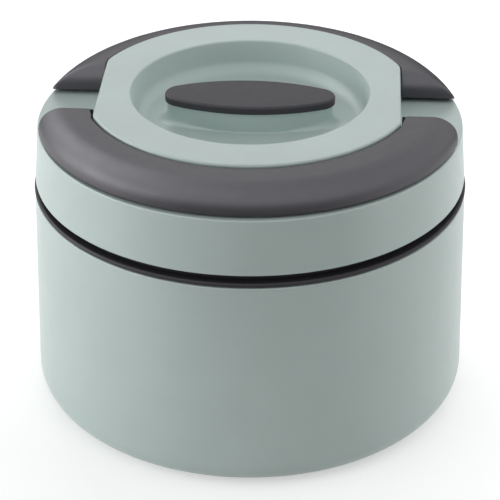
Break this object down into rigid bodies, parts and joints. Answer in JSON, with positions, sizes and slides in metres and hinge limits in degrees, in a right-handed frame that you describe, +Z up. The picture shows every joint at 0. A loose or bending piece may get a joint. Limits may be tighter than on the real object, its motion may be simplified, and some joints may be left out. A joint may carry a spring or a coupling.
{
  "type": "insulated food jar",
  "caption": "Round insulated food jar with a steel bowl, a twist-off lid with a sunken finger grip, and a pair of folding carrying handles that lie flush round the lid.",
  "frame": {"origin": "centre of the base, on the surface that the jar stands on", "axes": "+Z up along the jar's axis, -Y towards the front handle, +X along the grip bar and the handles' hinge axes"},
  "size_m": [0.1746, 0.1746, 0.1274],
  "materials": {
    "sage_plastic": "satin moulded polypropylene, grey-green",
    "dark_plastic": "soft satin moulded plastic, dark grey",
    "steel": "brushed stainless steel",
    "silicone": "matt translucent silicone",
    "liner_plastic": "plain moulded polypropylene",
    "foam": "rigid insulating foam"
  },
  "bodies": {
    "jar": {"outer_shell": "sage_plastic", "base_cover": "dark_plastic", "body_insulation": "foam", "inner_bowl": "steel", "collar": "dark_plastic", "bowl_gasket": "silicone"},
    "seal_ring": {"lid_seal": "silicone"},
    "lid": {"lid_cover": "sage_plastic", "lid_insulation": "foam", "lid_liner": "liner_plastic", "grip_pad": "dark_plastic", "grip_screws": "steel", "front_hinge_pins": "dark_plastic", "rear_hinge_pins": "dark_plastic"},
    "front_bail": {"front_handle": "dark_plastic", "front_handle_plate": "dark_plastic", "front_handle_screws": "steel"},
    "rear_bail": {"rear_handle": "dark_plastic", "rear_handle_plate": "dark_plastic", "rear_handle_screws": "steel"}
  },
  "joints": [
    {"name": "lid_lift", "type": "slide", "parent": "jar", "child": "seal_ring", "axis": [0, 0, 1], "range_m": [0, 0.0134]},
    {"name": "lid_turn", "type": "hinge", "parent": "seal_ring", "child": "lid", "pos_m": [0, 0, 0.1], "axis": [0, 0, 1], "range_deg": [0, 300]},
    {"name": "front_handle_fold", "type": "hinge", "parent": "lid", "child": "front_bail", "pos_m": [0, -0.022, 0.1226], "axis": [-1, 0, 0], "range_deg": [0, 100]},
    {"name": "rear_handle_fold", "type": "hinge", "parent": "lid", "child": "rear_bail", "pos_m": [0, 0.022, 0.1226], "axis": [1, 0, 0], "range_deg": [0, 100]}
  ],
  "couplings": [
    {"joint": "lid_lift", "follows": "lid_turn", "m_per_rad": 0.0025465}
  ]
}
